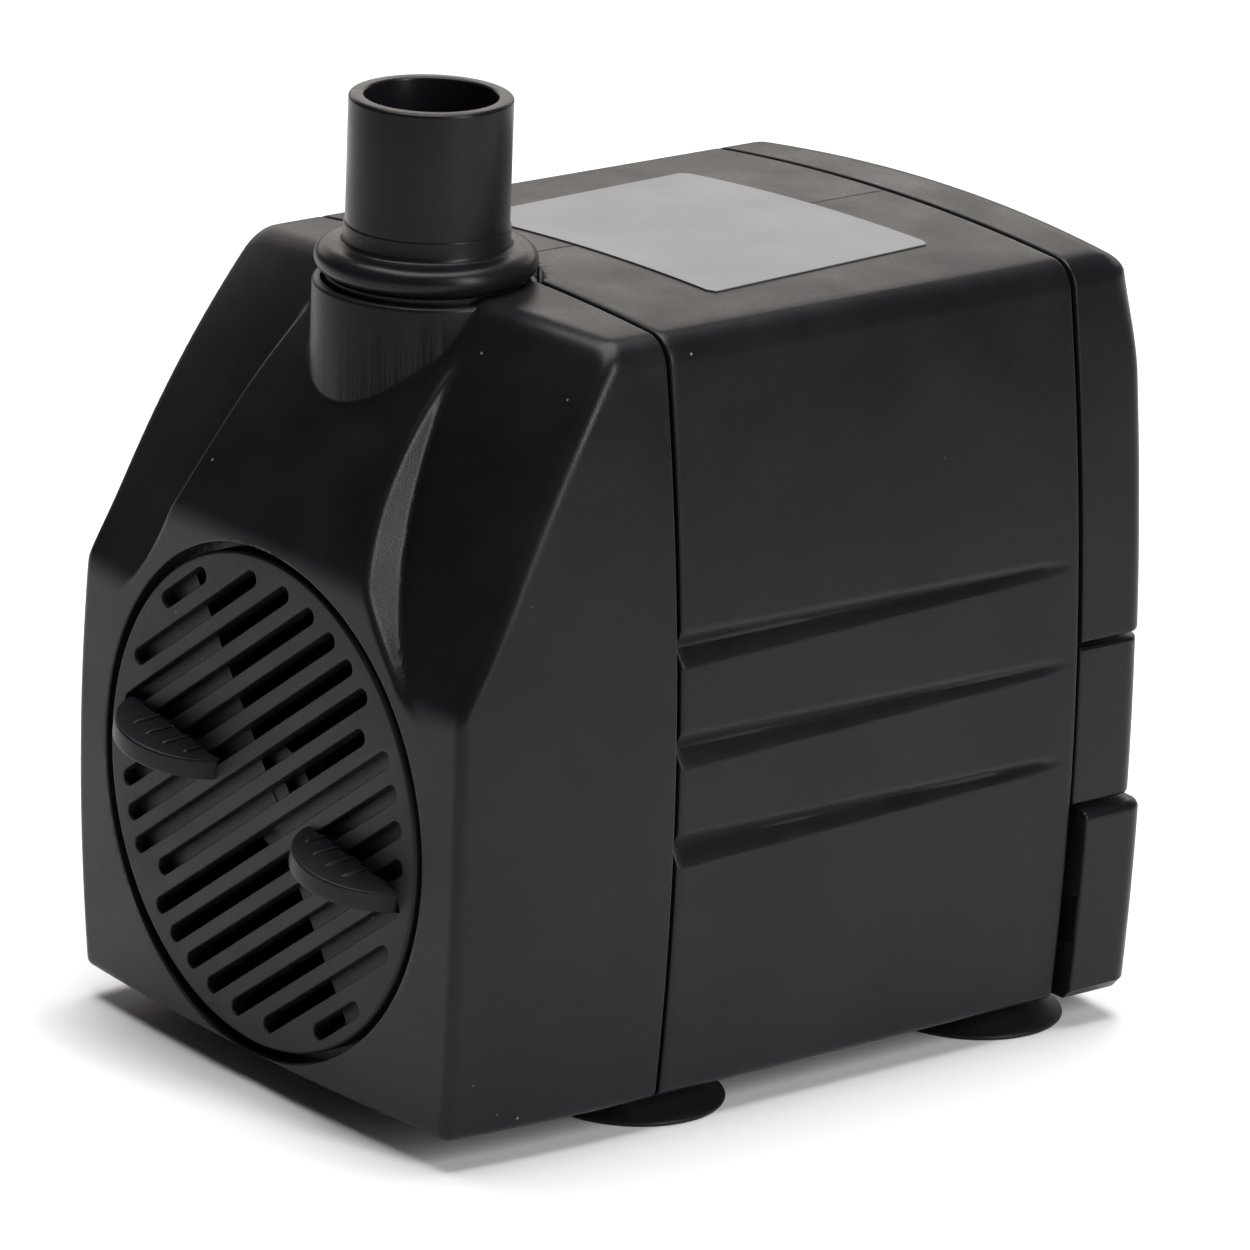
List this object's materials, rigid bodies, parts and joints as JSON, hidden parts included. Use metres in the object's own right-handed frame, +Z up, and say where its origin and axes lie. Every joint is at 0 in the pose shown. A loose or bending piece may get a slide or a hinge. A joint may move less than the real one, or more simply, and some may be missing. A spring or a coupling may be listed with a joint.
{
  "type": "fountain submersible pump",
  "caption": "Small submersible fountain pump: boxy black motor housing, slotted rotary intake dial, upright hose nozzle and rubber suction feet.",
  "frame": {"origin": "middle of the bounding box's footprint, on the plane of the suction feet", "axes": "+Z up, along the outlet nozzle; the intake dial faces -Y; +X to the right seen from the dial"},
  "size_m": [0.0676, 0.093, 0.098],
  "materials": {
    "black_shell": "fine-grained moulded plastic, satin",
    "nozzle_plastic": "smooth satin moulded plastic",
    "dial_plastic": "fine-grained moulded plastic, satin",
    "inner_plastic": "plain moulded plastic",
    "impeller_plastic": "plain natural moulded plastic",
    "bobbin_plastic": "plain natural moulded plastic",
    "wire_insulation": "extruded wire insulation",
    "resin": "cast black resin",
    "seal_rubber": "soft moulded rubber",
    "foot_rubber": "soft moulded rubber",
    "screw_steel": "stainless steel",
    "core_steel": "stamped laminations, varnished",
    "copper_wire": "enamelled copper wire",
    "ferrite": "sintered ferrite magnet, matt",
    "ceramic": "ground ceramic",
    "label_film": "blank matt adhesive film"
  },
  "bodies": {
    "motor": {"motor_housing": "black_shell", "stator_core": "core_steel", "coil_bobbin_left": "bobbin_plastic", "coil_bobbin_right": "bobbin_plastic", "coil_winding_left": "copper_wire", "coil_winding_right": "copper_wire", "coil_lead_left": "wire_insulation", "coil_lead_right": "wire_insulation", "thermal_fuse": "screw_steel", "potting_resin": "resin", "rotor_shaft": "ceramic", "rear_bushing": "seal_rubber", "rear_cap": "black_shell", "cord_panel": "black_shell", "base_skirt": "black_shell", "cord_gland": "seal_rubber", "cover_screw_1": "screw_steel", "cover_screw_2": "screw_steel", "cover_screw_3": "screw_steel", "cover_screw_4": "screw_steel", "suction_foot_1": "foot_rubber", "suction_foot_2": "foot_rubber", "suction_foot_3": "foot_rubber", "suction_foot_4": "foot_rubber", "rating_label": "label_film"},
    "cover": {"front_cover": "black_shell", "pump_chamber": "inner_plastic", "chamber_seal": "seal_rubber"},
    "dial": {"intake_dial": "dial_plastic", "dial_clip": "screw_steel"},
    "nozzle": {"outlet_nozzle": "nozzle_plastic", "nozzle_seal": "seal_rubber"},
    "rotor": {"impeller": "impeller_plastic", "rotor_magnet": "ferrite", "thrust_washer": "ceramic"}
  },
  "joints": [
    {"name": "cover_pull", "type": "slide", "parent": "motor", "child": "cover", "axis": [0, -1, 0], "range_m": [0, 0.03]},
    {"name": "dial_turn", "type": "hinge", "parent": "cover", "child": "dial", "pos_m": [0, -0.03955, 0.0293], "axis": [0, -1, 0], "range_deg": [0, 90]},
    {"name": "nozzle_pull", "type": "slide", "parent": "cover", "child": "nozzle", "axis": [0, 0, 1], "range_m": [0, 0.018]},
    {"name": "rotor_spin", "type": "hinge", "parent": "motor", "child": "rotor", "pos_m": [0, -0.01555, 0.0293], "axis": [0, 1, 0], "continuous": true}
  ]
}
